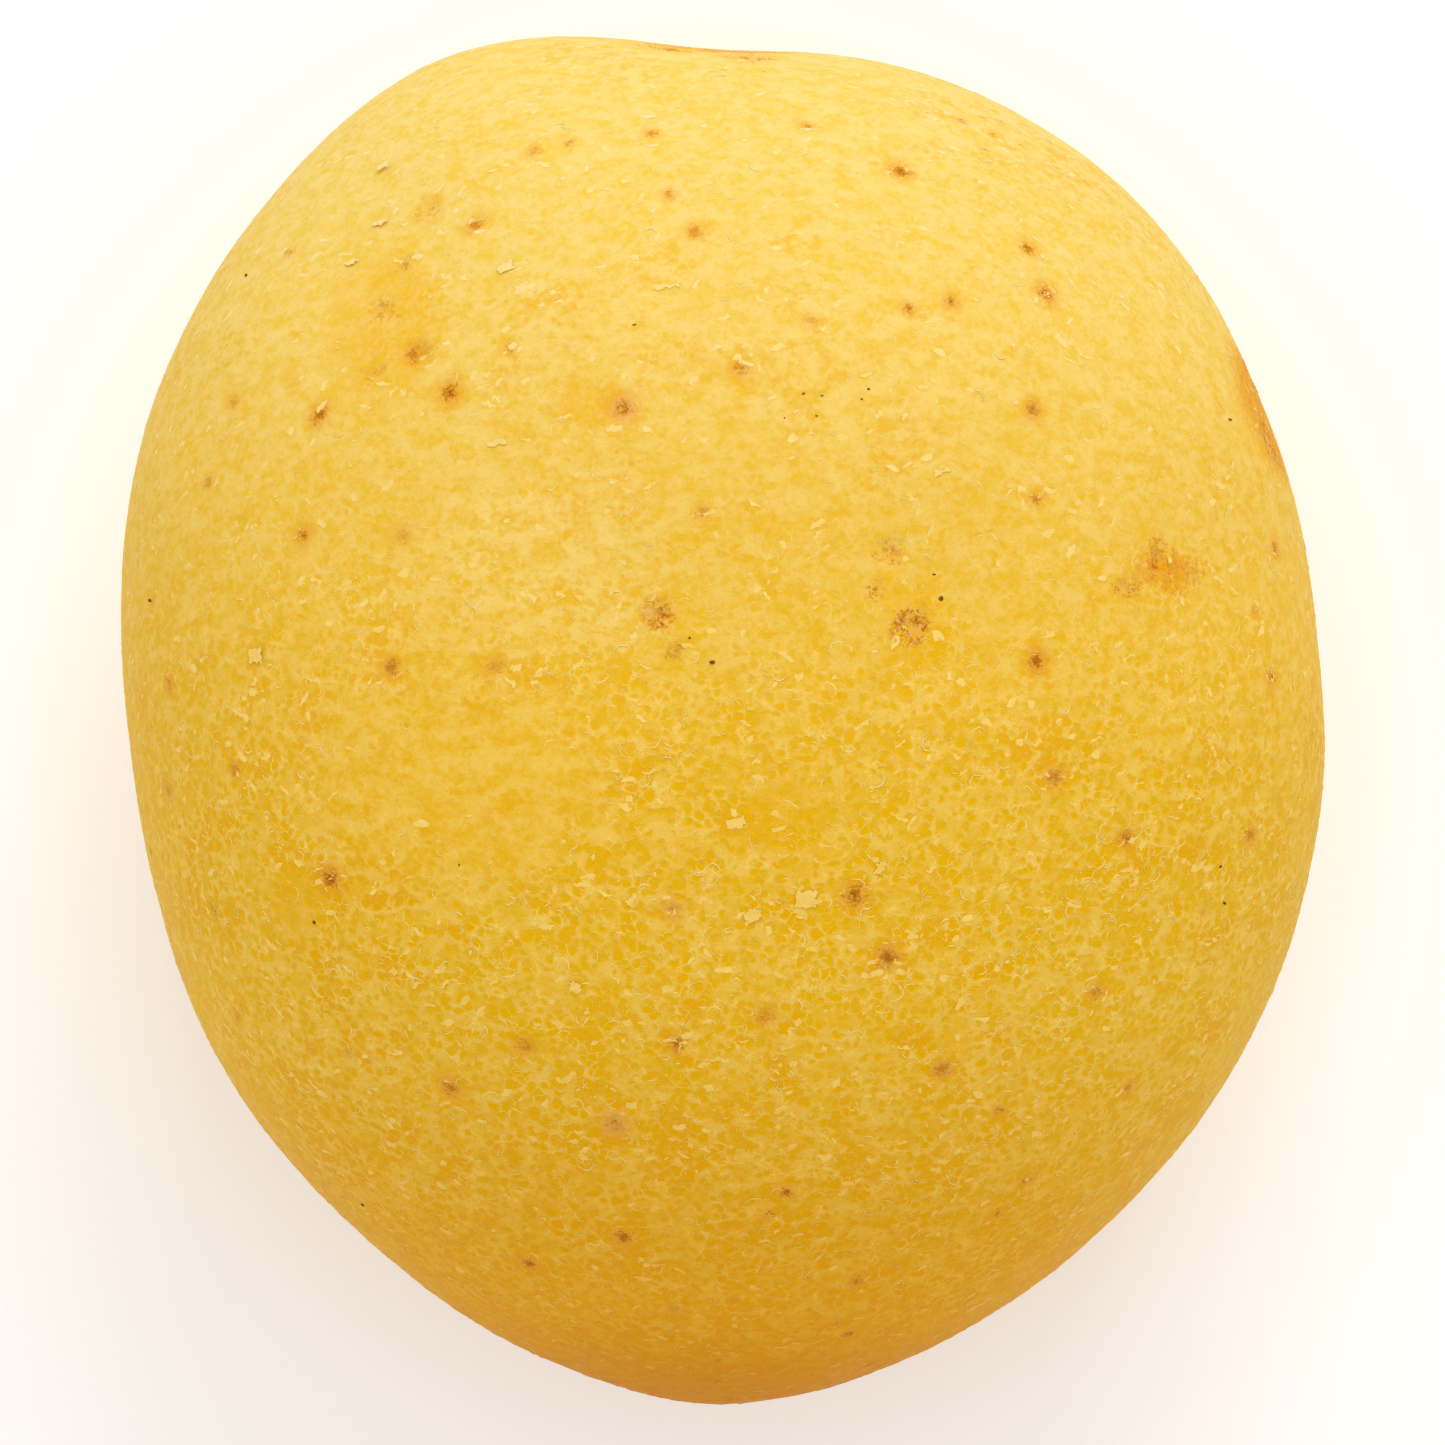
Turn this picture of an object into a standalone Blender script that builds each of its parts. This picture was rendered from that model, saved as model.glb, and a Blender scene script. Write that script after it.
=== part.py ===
"""A potato lying on its broad side, in metres, with +Z up.

The potato grew as one piece, so it is one closed body. A sphere is moved to the potato's outline and
depth, swollen and hollowed here and there, and pressed flat where it rests. The origin is in the middle
of the box's floor, on the flat spot. The stolon end points to -Y and the rose end to +Y.
"""

from math import atan2, cos, degrees, exp, hypot, radians, sin

import bpy
from mathutils import Vector

# Driving dimensions.
LENGTH = 0.080  # along Y, from the stolon end to the rose end
WIDTH = 0.070  # along X
HEIGHT = 0.060  # along Z, from the flat spot to the top
FLAT_DEPTH = 0.0022  # how much of the rounded belly the flat spot takes away
FLAT_ROUNDING = 0.0010  # height over which the belly runs into the flat spot

# The outline from above: bearing in degrees from +X towards +Y, and radius as a share of half the length.
OUTLINE = (
    (10, 0.880),
    (30, 0.920),
    (55, 0.976),
    (80, 0.992),
    (92, 0.990),
    (102, 1.022),
    (114, 1.052),
    (128, 1.015),
    (150, 0.953),
    (185, 0.861),
    (225, 0.900),
    (240, 0.925),
    (256, 0.971),
    (270, 1.000),
    (288, 0.964),
    (310, 0.919),
    (335, 0.896),
)

# The section: how the body is set about its widest line.
WIDEST_LINE = 0.47  # height of the widest line, as a share of the whole height
SHOULDER = 0.030  # how far the section stands out past an ellipse, as a share of its radius
ROSE_RISE = 0.0014  # how much higher the widest line runs at the rose end than in the middle
SIDE_RISE = 0.0012  # how much higher it runs along the two sides than in the middle

# Broad swellings: bearing and elevation in degrees from the body's middle, height and reach in metres.
SWELLINGS = (
    (62, 52, 0.0011, 0.016),
    (212, 46, 0.0008, 0.015),
    (140, -44, 0.0014, 0.017),
    (325, -40, 0.0012, 0.016),
    (250, -48, 0.0009, 0.014),
)

# Eyes: bearing and elevation in degrees, depth and reach in metres.
EYES = (
    (90, 8, 0.0007, 0.0050),
    (127, 35, 0.0007, 0.0060),
    (33, 66, 0.0007, 0.0055),
    (118, 76, 0.0005, 0.0050),
    (20, 37, 0.0006, 0.0055),
    (30, 6, 0.0003, 0.0045),
    (62, -24, 0.0009, 0.0055),
    (108, -38, 0.0008, 0.0050),
    (165, -18, 0.0008, 0.0055),
    (203, -48, 0.0006, 0.0055),
    (15, -46, 0.0008, 0.0055),
    (306, -26, 0.0006, 0.0060),
)
STOLON_SCAR = (268, -14, 0.0013, 0.0052)

# The mesh.
SPHERE_SUBDIVISIONS = 5  # 5,120 triangles
NODE_NAME = "potato"
COLLECTION_NAME = "potato_part"

# The skin: linear colour.
SKIN_COLOUR = (0.81, 0.51, 0.052, 1.0)
SKIN_ROUGHNESS = 0.62


def clear_scene():
    for scene_object in list(bpy.data.objects):
        bpy.data.objects.remove(scene_object, do_unlink=True)


def outline_share(bearing):
    """Radius at a bearing in degrees, on the smooth closed curve through the outline's points."""
    first = OUTLINE[0][0]
    bearing = first + (bearing - first) % 360.0
    passed = sum(angle <= bearing for angle, _ in OUTLINE)

    def point(index):
        turns, place = divmod(index, len(OUTLINE))
        angle, share = OUTLINE[place]
        return angle + 360.0 * turns, share

    before, start, end, after = (point(passed + step) for step in (-2, -1, 0, 1))
    gap = end[0] - start[0]
    start_slope = gap * (end[1] - before[1]) / (end[0] - before[0])
    end_slope = gap * (after[1] - start[1]) / (after[0] - start[0])
    t = (bearing - start[0]) / gap
    return (
        start[1] * (2 * t**3 - 3 * t**2 + 1)
        + start_slope * (t**3 - 2 * t**2 + t)
        + end[1] * (3 * t**2 - 2 * t**3)
        + end_slope * (t**3 - t**2)
    )


def ellipse_share(angle):
    """Radius at an angle in radians of the plain ellipse with the body's length and width."""
    narrow = WIDTH / LENGTH
    return narrow / hypot(narrow * sin(angle), cos(angle))


def body_point(direction):
    """Where a point of the unit sphere goes on the body, before the swellings and eyes."""
    ring = hypot(direction.x, direction.y)
    angle = atan2(direction.y, direction.x)
    # The outline's own shape fades out towards the top and the belly, which keeps both of them round.
    plain = ellipse_share(angle)
    share = plain + (outline_share(degrees(angle)) - plain) * ring**2
    shoulder = 1.0 + SHOULDER * (2.0 * ring * direction.z) ** 2
    radius = 0.5 * LENGTH * share * ring * shoulder
    x = radius * cos(angle)
    y = radius * sin(angle)
    above = (1.0 - WIDEST_LINE) * HEIGHT
    below = WIDEST_LINE * HEIGHT + FLAT_DEPTH
    z = direction.z * shoulder * (above if direction.z > 0.0 else below)
    z += ROSE_RISE * (2.0 * y / LENGTH) * (1.0 + direction.z)
    z += SIDE_RISE * ((2.0 * x / WIDTH) ** 2 - (2.0 * y / LENGTH) ** 2)
    return Vector((x, y, z))


def towards(bearing, elevation):
    """Unit vector from the body's middle at a bearing and an elevation in degrees."""
    level = cos(radians(elevation))
    return Vector((level * cos(radians(bearing)), level * sin(radians(bearing)), sin(radians(elevation))))


def raise_round(points, bearing, elevation, height, reach):
    """Moves the points round one spot of the surface outwards, or inwards if the height is negative."""
    outward = towards(bearing, elevation)
    spot = max(points, key=lambda point: point.normalized().dot(outward)).copy()
    for point in points:
        point += outward * height * exp(-(((point - spot).length / reach) ** 2))


def fit_to_box(points):
    """Brings the points to the length, width and height, centred, with the belly's depth below z = 0."""
    wanted_lowest = (-0.5 * WIDTH, -0.5 * LENGTH, -FLAT_DEPTH)
    wanted_highest = (0.5 * WIDTH, 0.5 * LENGTH, HEIGHT)
    for axis in range(3):
        lowest = min(point[axis] for point in points)
        highest = max(point[axis] for point in points)
        scale = (wanted_highest[axis] - wanted_lowest[axis]) / (highest - lowest)
        for point in points:
            point[axis] = wanted_lowest[axis] + (point[axis] - lowest) * scale


def press_flat(points):
    """Levels the belly at z = 0, with a rounded edge to the flat spot."""
    for point in points:
        if point.z <= -FLAT_ROUNDING:
            point.z = 0.0
        elif point.z < FLAT_ROUNDING:
            point.z = (point.z + FLAT_ROUNDING) ** 2 / (4.0 * FLAT_ROUNDING)


def make_potato():
    bpy.ops.mesh.primitive_ico_sphere_add(subdivisions=SPHERE_SUBDIVISIONS, radius=1.0)
    potato = bpy.context.object
    potato.name = NODE_NAME
    potato.data.name = NODE_NAME
    points = [body_point(vertex.co.normalized()) for vertex in potato.data.vertices]
    for swelling in SWELLINGS:
        raise_round(points, *swelling)
    for bearing, elevation, depth, reach in (*EYES, STOLON_SCAR):
        raise_round(points, bearing, elevation, -depth, reach)
    fit_to_box(points)
    press_flat(points)
    for vertex, point in zip(potato.data.vertices, points):
        vertex.co = point
    potato.data.shade_smooth()
    return potato


def make_skin_material():
    material = bpy.data.materials.new("potato_skin")
    material.use_nodes = True
    shader = material.node_tree.nodes["Principled BSDF"]
    shader.inputs["Base Color"].default_value = SKIN_COLOUR
    shader.inputs["Roughness"].default_value = SKIN_ROUGHNESS
    shader.inputs["Metallic"].default_value = 0.0
    return material


def put_in_collection(part):
    collection = bpy.data.collections.new(COLLECTION_NAME)
    bpy.context.scene.collection.children.link(collection)
    for old_collection in list(part.users_collection):
        old_collection.objects.unlink(part)
    collection.objects.link(part)


def main():
    clear_scene()
    potato = make_potato()
    potato.data.materials.append(make_skin_material())
    put_in_collection(potato)


main()
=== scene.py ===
# A raw yellow potato lying on its broad side: torn cork skin over yellow flesh, with its flakes,
# curls, breathing pores, eyes and stolon scar. Lengths are in metres, apart from names that end in
# Mm and lists that say so, which are in millimetres.

import math
import random

import bpy
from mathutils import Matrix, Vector
from mathutils.bvhtree import BVHTree
from mathutils.kdtree import KDTree


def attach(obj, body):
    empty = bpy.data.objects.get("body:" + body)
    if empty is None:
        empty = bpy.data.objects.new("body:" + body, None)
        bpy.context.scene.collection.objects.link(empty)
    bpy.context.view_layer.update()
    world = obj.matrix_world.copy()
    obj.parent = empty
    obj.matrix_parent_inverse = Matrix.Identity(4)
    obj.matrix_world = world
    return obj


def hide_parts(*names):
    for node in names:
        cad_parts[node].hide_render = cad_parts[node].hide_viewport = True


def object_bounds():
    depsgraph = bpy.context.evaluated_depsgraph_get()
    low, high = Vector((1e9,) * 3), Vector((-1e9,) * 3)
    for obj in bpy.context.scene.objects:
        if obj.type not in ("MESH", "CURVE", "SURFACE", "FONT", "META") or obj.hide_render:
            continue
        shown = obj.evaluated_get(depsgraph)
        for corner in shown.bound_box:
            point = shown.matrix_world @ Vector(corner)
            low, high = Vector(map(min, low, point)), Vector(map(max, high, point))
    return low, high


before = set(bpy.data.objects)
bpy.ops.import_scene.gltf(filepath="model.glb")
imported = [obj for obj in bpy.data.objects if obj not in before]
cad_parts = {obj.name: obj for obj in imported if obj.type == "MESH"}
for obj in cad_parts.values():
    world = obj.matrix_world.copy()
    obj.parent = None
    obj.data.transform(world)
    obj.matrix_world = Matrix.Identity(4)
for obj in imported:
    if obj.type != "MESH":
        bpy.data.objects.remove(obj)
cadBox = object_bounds()
millimetre = 0.001
body = "root"


class Wire:
    # One socket of a node tree. Arithmetic on wires adds Math nodes.
    def __init__(self, graph, socket):
        self.graph = graph
        self.socket = socket

    def __add__(self, other):
        return self.graph.math("ADD", self, other)

    def __radd__(self, other):
        return self.graph.math("ADD", other, self)

    def __sub__(self, other):
        return self.graph.math("SUBTRACT", self, other)

    def __rsub__(self, other):
        return self.graph.math("SUBTRACT", other, self)

    def __mul__(self, other):
        return self.graph.math("MULTIPLY", self, other)

    def __rmul__(self, other):
        return self.graph.math("MULTIPLY", other, self)

    def __truediv__(self, other):
        return self.graph.math("DIVIDE", self, other)

    def other(self, name):
        # Another output of the same node.
        return Wire(self.graph, self.graph.find(self.socket.node.outputs, name))


class Graph:
    # Adds nodes to a shader tree or a geometry tree.
    def __init__(self, tree):
        self.tree = tree

    def find(self, sockets, name):
        usable = [socket for socket in sockets if socket.enabled]
        if isinstance(name, int):
            return usable[name]
        return next(socket for socket in usable if socket.name == name)

    def add(self, kind, settings=None, inputs=None, output=0):
        node = self.tree.nodes.new(kind)
        for name, value in (settings or {}).items():
            setattr(node, name, value)
        for name, value in (inputs or {}).items():
            self.join(value, self.find(node.inputs, name))
        return Wire(self, self.find(node.outputs, output))

    def join(self, value, socket):
        if isinstance(value, Wire):
            self.tree.links.new(value.socket, socket)
        else:
            socket.default_value = value

    def math(self, operation, *values):
        return self.add("ShaderNodeMath", {"operation": operation}, dict(enumerate(values)))

    def vector(self, operation, *values):
        inputs = dict(enumerate(values))
        return self.add("ShaderNodeVectorMath", {"operation": operation}, inputs)

    def scaled(self, value, factor):
        inputs = {"Vector": value, "Scale": factor}
        return self.add("ShaderNodeVectorMath", {"operation": "SCALE"}, inputs)

    def step(self, value, low, high):
        # 0 below low and 1 above high, smooth between them; low may be the higher one.
        limits = {"Value": value, "From Min": low, "From Max": high}
        return self.add("ShaderNodeMapRange", {"interpolation_type": "SMOOTHSTEP"}, limits)

    def noise(self, place, scale, detail=2.0, roughness=0.5, output="Fac"):
        inputs = {"Vector": place, "Scale": scale, "Detail": detail, "Roughness": roughness}
        return self.add("ShaderNodeTexNoise", {}, inputs, output)

    def mixColour(self, share, first, second):
        inputs = {"Factor": share, "A": first, "B": second}
        return self.add("ShaderNodeMix", {"data_type": "RGBA"}, inputs)

    def mixValue(self, share, first, second):
        inputs = {"Factor": share, "A": first, "B": second}
        return self.add("ShaderNodeMix", {"data_type": "FLOAT"}, inputs)

    def attribute(self, name, output="Vector"):
        return self.add("ShaderNodeAttribute", {"attribute_name": name}, {}, output)

    def parts(self, vector):
        first = self.add("ShaderNodeSeparateXYZ", {}, {"Vector": vector}, "X")
        return first, first.other("Y"), first.other("Z")

    def random(self, low, high, seed, kind="FLOAT"):
        inputs = {"Min": low, "Max": high, "Seed": seed}
        return self.add("FunctionNodeRandomValue", {"data_type": kind}, inputs)


class GeometryGraph(Graph):
    # A geometry tree whose named inputs are the sizes in a piece's dictionary.
    socketKinds = {
        int: "NodeSocketInt",
        float: "NodeSocketFloat",
        tuple: "NodeSocketVector",
        bpy.types.Object: "NodeSocketObject",
        bpy.types.Material: "NodeSocketMaterial",
    }

    def __init__(self, name, sizes):
        super().__init__(bpy.data.node_groups.new(name, "GeometryNodeTree"))
        self.sizes = sizes
        face = self.tree.interface
        face.new_socket("Geometry", in_out="OUTPUT", socket_type="NodeSocketGeometry")
        for label, value in sizes.items():
            face.new_socket(label, in_out="INPUT", socket_type=self.socketKinds[type(value)])
        self.start = self.tree.nodes.new("NodeGroupInput")

    def given(self, label):
        return Wire(self, self.start.outputs[label])

    def shapeOf(self, label):
        settings = {"transform_space": "RELATIVE"}
        return self.add("GeometryNodeObjectInfo", settings, {"Object": self.given(label)}, "Geometry")

    def place(self):
        return self.add("GeometryNodeInputPosition")

    def kept(self, name):
        # A vector stored on the points under a name.
        settings = {"data_type": "FLOAT_VECTOR"}
        return self.add("GeometryNodeInputNamedAttribute", settings, {"Name": name})

    def moved(self, geometry, **inputs):
        return self.add("GeometryNodeSetPosition", {}, {"Geometry": geometry, **inputs})

    def finish(self, geometry):
        real = self.add("GeometryNodeRealizeInstances", {}, {"Geometry": geometry})
        inputs = {"Geometry": real, "Material": self.given("Material")}
        painted = self.add("GeometryNodeSetMaterial", {}, inputs)
        end = self.tree.nodes.new("NodeGroupOutput")
        self.tree.links.new(painted.socket, end.inputs["Geometry"])

    def grow(self, name):
        # Runs the tree on an empty mesh and keeps the result as a plain mesh object.
        made = bpy.data.objects.new(name, bpy.data.meshes.new(name))
        bpy.context.scene.collection.objects.link(made)
        modifier = made.modifiers.new(name, "NODES")
        modifier.node_group = self.tree
        for item in self.tree.interface.items_tree:
            if item.in_out == "INPUT":
                modifier[item.identifier] = self.sizes[item.name]
        graph = bpy.context.evaluated_depsgraph_get()
        mesh = bpy.data.meshes.new_from_object(made.evaluated_get(graph))
        made.modifiers.remove(modifier)
        made.data = mesh
        mesh.name = name
        return made


def newMaterial(name):
    material = bpy.data.materials.new(name)
    material.use_nodes = True
    return material, Graph(material.node_tree), material.node_tree.nodes["Principled BSDF"]


def millimetrePlace(graph):
    place = graph.add("ShaderNodeTexCoord", {}, {}, "Object")
    return graph.scaled(place, 1 / millimetre)


def settle(piece, replaced=()):
    for node in replaced:
        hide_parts(node)
    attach(piece, body)
    triangles = sum(len(face.vertices) - 2 for face in piece.data.polygons)
    print(f"{piece.name}: {triangles} triangles")


# The camera looks straight down.
viewer = {
    "lensMm": 200.0,
    "sensorMm": 36.0,
    "fill": 0.95225,  # share of the frame's height that the tuber's length takes
    "rimTries": 20,
    "rimStep": 0.005,  # how much nearer to the middle each try for a place past the rim is
}

# Pores: x, y and radius in millimetres, then the strength and how pink the pore is, both from 0 to 1.
# Here and below, x and y are where the camera sees a spot, measured level with the tuber's middle.
pores = {
    "roseEnd": [
        (10.4, 32.1, 0.50, 1.0, 0.1), (4.9, 34.8, 0.32, 0.7, 0.1), (-4.1, 34.4, 0.34, 0.7, 0.2),
        (-3.1, 30.8, 0.34, 0.7, 0.3), (-1.6, 28.6, 0.44, 0.7, 0.5), (-11.0, 33.3, 0.40, 0.5, 0.4),
        (-8.9, 33.8, 0.30, 0.5, 0.3), (13.9, 35.0, 0.36, 0.4, 0.3), (15.8, 34.2, 0.30, 0.5, 0.2),
        (-14.5, 29.0, 0.44, 0.8, 0.1), (-18.5, 26.7, 0.34, 0.6, 0.2), (-25.3, 27.4, 0.30, 0.7, 0.1),
        (17.8, 27.6, 0.42, 0.9, 0.1), (18.9, 25.0, 0.55, 0.9, 0.4), (13.4, 24.5, 0.42, 0.7, 0.2),
        (10.8, 24.1, 0.32, 0.8, 0.1), (5.1, 23.4, 0.34, 0.4, 0.4), (1.0, 20.6, 0.46, 0.7, 0.5),
    ],
    "leftShoulder": [
        (-18.0, 21.5, 0.52, 0.8, 0.0), (-15.9, 19.2, 0.56, 0.9, 0.0), (-23.5, 17.9, 0.52, 1.0, 0.1),
        (-28.5, 18.6, 0.40, 0.5, 0.4), (-12.3, 21.8, 0.30, 0.6, 0.0), (-5.8, 18.3, 0.62, 0.9, 1.0),
        (-30.0, 13.9, 0.36, 0.5, 0.4), (-24.5, 10.9, 0.46, 0.9, 0.3), (-18.7, 10.9, 0.50, 0.4, 0.6),
        (-1.2, 12.2, 0.40, 0.5, 0.5), (-19.3, 3.2, 0.46, 0.8, 0.3), (-13.2, 3.2, 0.50, 0.4, 0.6),
        (-32.3, 2.2, 0.46, 0.7, 0.3), (-32.3, -4.0, 0.46, 0.6, 0.5), (-28.4, -2.8, 0.36, 0.7, 0.2),
    ],
    "rightShoulder": [
        (18.1, 18.2, 0.48, 0.8, 0.4), (18.3, 13.0, 0.38, 0.7, 0.2), (32.2, 10.1, 0.46, 0.7, 0.3),
        (32.0, 2.6, 0.46, 0.7, 0.3), (18.3, 3.6, 0.52, 1.0, 0.1), (19.3, -3.2, 0.50, 0.8, 0.3),
        (23.5, -6.8, 0.46, 0.8, 0.2), (30.8, -6.6, 0.50, 0.7, 0.0), (31.0, 6.4, 0.30, 0.4, 0.4),
    ],
    "stolonHalf": [
        (7.7, -10.1, 0.58, 1.0, 0.1), (9.6, -13.7, 0.62, 1.0, 0.3), (-2.9, -10.9, 0.50, 0.6, 0.9),
        (-2.7, -18.7, 0.48, 0.8, 0.2), (2.5, -17.1, 0.60, 0.4, 0.2), (-6.3, -23.4, 0.66, 0.8, 0.9),
        (3.7, -27.4, 0.44, 0.9, 0.1), (2.7, -28.7, 0.34, 0.9, 0.1), (-5.8, -30.0, 0.56, 1.0, 0.1),
        (-11.3, -31.6, 0.54, 1.0, 0.1), (7.8, -32.6, 0.50, 0.8, 0.1), (-2.8, -34.2, 0.44, 0.4, 0.5),
        (7.4, -35.6, 0.38, 0.7, 0.1), (-15.9, -21.3, 0.54, 0.9, 0.2), (-11.6, -18.9, 0.50, 0.6, 0.0),
        (-22.8, -9.1, 0.60, 1.0, 0.1), (-28.3, -17.1, 0.40, 0.5, 0.4), (-21.8, -19.2, 0.36, 0.4, 0.5),
        (-29.6, -10.9, 0.40, 0.5, 0.3), (21.8, -15.8, 0.48, 0.7, 0.3), (12.8, -20.2, 0.50, 0.8, 0.4),
        (16.1, -22.7, 0.38, 0.8, 0.2), (23.6, -21.3, 0.42, 0.6, 0.3), (17.7, -26.7, 0.38, 0.7, 0.3),
        (16.1, -28.6, 0.34, 0.8, 0.1), (24.4, -24.9, 0.50, 0.3, 0.6), (28.1, -11.0, 0.30, 0.4, 0.5),
    ],
}

# Eyes: x, y and radius in millimetres, then the strength and how much orange flesh shows there.
faceEyes = [
    (-3.7, 6.3, 1.1, 0.90, 0.3), (-2.6, 4.0, 0.8, 0.60, 0.3), (9.6, 10.0, 1.1, 0.90, 0.3),
    (10.9, 5.6, 1.4, 1.00, 0.4), (8.9, 7.6, 0.7, 0.60, 0.4), (-19.9, 23.9, 1.3, 0.60, 0.6),
    (-17.6, 21.6, 1.1, 0.50, 0.6), (-20.3, 20.4, 0.9, 0.45, 0.6), (-17.2, 30.0, 1.0, 0.35, 0.8),
    (25.4, 9.4, 1.5, 0.75, 0.6), (23.6, 7.6, 1.2, 0.60, 0.6), (31.0, 20.0, 1.5, 0.90, 1.0),
    (31.9, 16.2, 1.9, 1.00, 1.0), (1.6, 38.8, 1.8, 0.85, 0.6), (-3.2, 39.2, 2.0, 0.70, 0.9),
]

# The hidden eyes and the stolon scar: bearing and elevation in degrees, then as above.
hiddenEyes = [
    (62, -24, 2.2, 0.9, 0.5), (108, -38, 2.0, 0.8, 0.5), (165, -18, 2.1, 0.8, 0.6),
    (203, -48, 1.8, 0.8, 0.5), (15, -46, 2.1, 0.9, 0.5), (306, -26, 2.0, 0.8, 0.6),
]
stolonScar = (268, -14, 2.6, 1.0, 0.2)

# Dark soil specks: x, y and radius in millimetres.
faceSpecks = [
    (-27.7, 26.0, 0.10), (-5.1, 23.1, 0.09), (4.7, 19.1, 0.09), (5.8, 19.0, 0.08), (8.5, 19.4, 0.09),
    (8.1, 18.8, 0.08), (3.6, 17.7, 0.07), (5.5, 17.8, 0.07), (-0.6, 3.5, 0.17), (12.7, 7.2, 0.17),
    (-33.3, 7.1, 0.12), (-15.3, -8.3, 0.09), (-23.7, -11.6, 0.12), (-20.9, -28.0, 0.16),
    (29.0, -8.4, 0.10), (29.2, -10.5, 0.12), (29.5, 17.6, 0.11), (-1.9, 4.9, 0.10), (12.3, 8.6, 0.09),
]

# Larger loose flaps of film: x, y, half the length and half the width in millimetres, and the turn in
# degrees.
faceFlaps = [
    (-27.2, 3.9, 0.52, 0.40, 5), (4.9, -10.3, 0.55, 0.45, 0), (1.8, -11.2, 0.42, 0.34, 40),
    (-5.3, -10.4, 0.30, 0.22, 80), (0.8, -5.8, 0.45, 0.24, 20), (-3.2, 25.4, 0.62, 0.16, 5),
    (-12.6, 26.5, 0.42, 0.28, 30), (-11.5, 25.3, 0.55, 0.24, 15), (-13.1, 16.3, 0.50, 0.18, 10),
    (-19.9, 29.1, 0.50, 0.15, 10), (-21.6, 26.8, 0.40, 0.14, 25), (-19.7, 32.4, 0.40, 0.15, 15),
    (9.2, -8.4, 0.36, 0.22, 60), (-8.6, -15.4, 0.40, 0.24, 120), (12.8, 14.6, 0.45, 0.18, 10),
]

# What is scattered below the widest line.
hiddenSide = {
    "pores": 95,
    "poreGapMm": 3.6,  # least distance between two pores, or a pore and an eye
    "poreRadiusMm": (0.32, 0.60),
    "poreStrength": (0.45, 1.0),
    "specks": 26,
    "speckGapMm": 1.0,
    "speckRadiusMm": (0.06, 0.16),
    "highest": -4.0,  # elevation in degrees above which nothing is scattered
    "seed": 41,
}


def cadTree():
    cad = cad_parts["potato"].data
    points = [vertex.co.copy() for vertex in cad.vertices]
    return BVHTree.FromPolygons(points, [list(face.vertices) for face in cad.polygons])


cadSurface = cadTree()
middle = (cadBox[0] + cadBox[1]) / 2
framed = (cadBox[1].y - cadBox[0].y) / viewer["fill"]
viewPoint = Vector((0, 0, middle.z + framed * viewer["lensMm"] / viewer["sensorMm"]))


def seenAt(xMm, yMm):
    # The point of the tuber that the camera sees at a place; a place past the rim goes to the rim.
    for attempt in range(viewer["rimTries"]):
        share = 1 - viewer["rimStep"] * attempt
        aim = Vector((xMm * millimetre * share, yMm * millimetre * share, middle.z)) - viewPoint
        hit = cadSurface.ray_cast(viewPoint, aim)[0]
        if hit:
            return hit


def fromMiddle(bearing, elevation):
    level = math.cos(math.radians(elevation))
    across = math.radians(bearing)
    up = math.sin(math.radians(elevation))
    aim = Vector((level * math.cos(across), level * math.sin(across), up))
    return cadSurface.ray_cast(middle + aim, -aim)[0]


def scatterHidden(count, gapMm, taken):
    # Seeded places on the side that faces down, clear of each other and of the places taken.
    found = []
    while len(found) < count:
        elevation = math.degrees(math.asin(-dice.random()))
        spot = fromMiddle(dice.uniform(0, 360), elevation)
        tooNear = any((spot - other).length < gapMm * millimetre for other in taken + found)
        if elevation <= hiddenSide["highest"] and not tooNear:
            found.append(spot)
    return found


def seedObject(name, seeds):
    # A mesh of loose points: each seed is a place and a look of three numbers.
    mesh = bpy.data.meshes.new(name)
    mesh.from_pydata([place for place, look in seeds], [], [])
    looks = mesh.attributes.new("look", "FLOAT_VECTOR", "POINT")
    for item, (place, look) in zip(looks.data, seeds):
        item.vector = look
    made = bpy.data.objects.new(name, mesh)
    bpy.context.scene.collection.objects.link(made)
    return made


dice = random.Random(hiddenSide["seed"])
eyeSeeds = [(seenAt(x, y), look) for x, y, *look in faceEyes]
eyeSeeds += [(fromMiddle(bearing, rise), look) for bearing, rise, *look in (*hiddenEyes, stolonScar)]
poreSeeds = [(seenAt(x, y), look) for group in pores.values() for x, y, *look in group]
takenPlaces = [place for place, look in poreSeeds + eyeSeeds]
for spot in scatterHidden(hiddenSide["pores"], hiddenSide["poreGapMm"], takenPlaces):
    radius = dice.uniform(*hiddenSide["poreRadiusMm"])
    strength = dice.uniform(*hiddenSide["poreStrength"])
    poreSeeds.append((spot, (radius, strength, dice.random() ** 2)))
speckSeeds = [(seenAt(x, y), (radius, 1, 1)) for x, y, radius in faceSpecks]
for spot in scatterHidden(hiddenSide["specks"], hiddenSide["speckGapMm"], takenPlaces):
    speckSeeds.append((spot, (dice.uniform(*hiddenSide["speckRadiusMm"]), 1, 1)))
flapSeeds = []
for x, y, length, width, turn in faceFlaps:
    flapSeeds.append((seenAt(x, y), (length, width, math.radians(turn))))
poreObject = seedObject("poreSeeds", poreSeeds)
eyeObject = seedObject("eyeSeeds", eyeSeeds)
speckObject = seedObject("speckSeeds", speckSeeds)
flapObject = seedObject("flapSeeds", flapSeeds)
print(f"seeds: {len(poreSeeds)} pores, {len(eyeSeeds)} eyes, {len(speckSeeds)} specks")
print(f"seeds: {len(flapSeeds)} loose flaps")


# Skin

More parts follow.
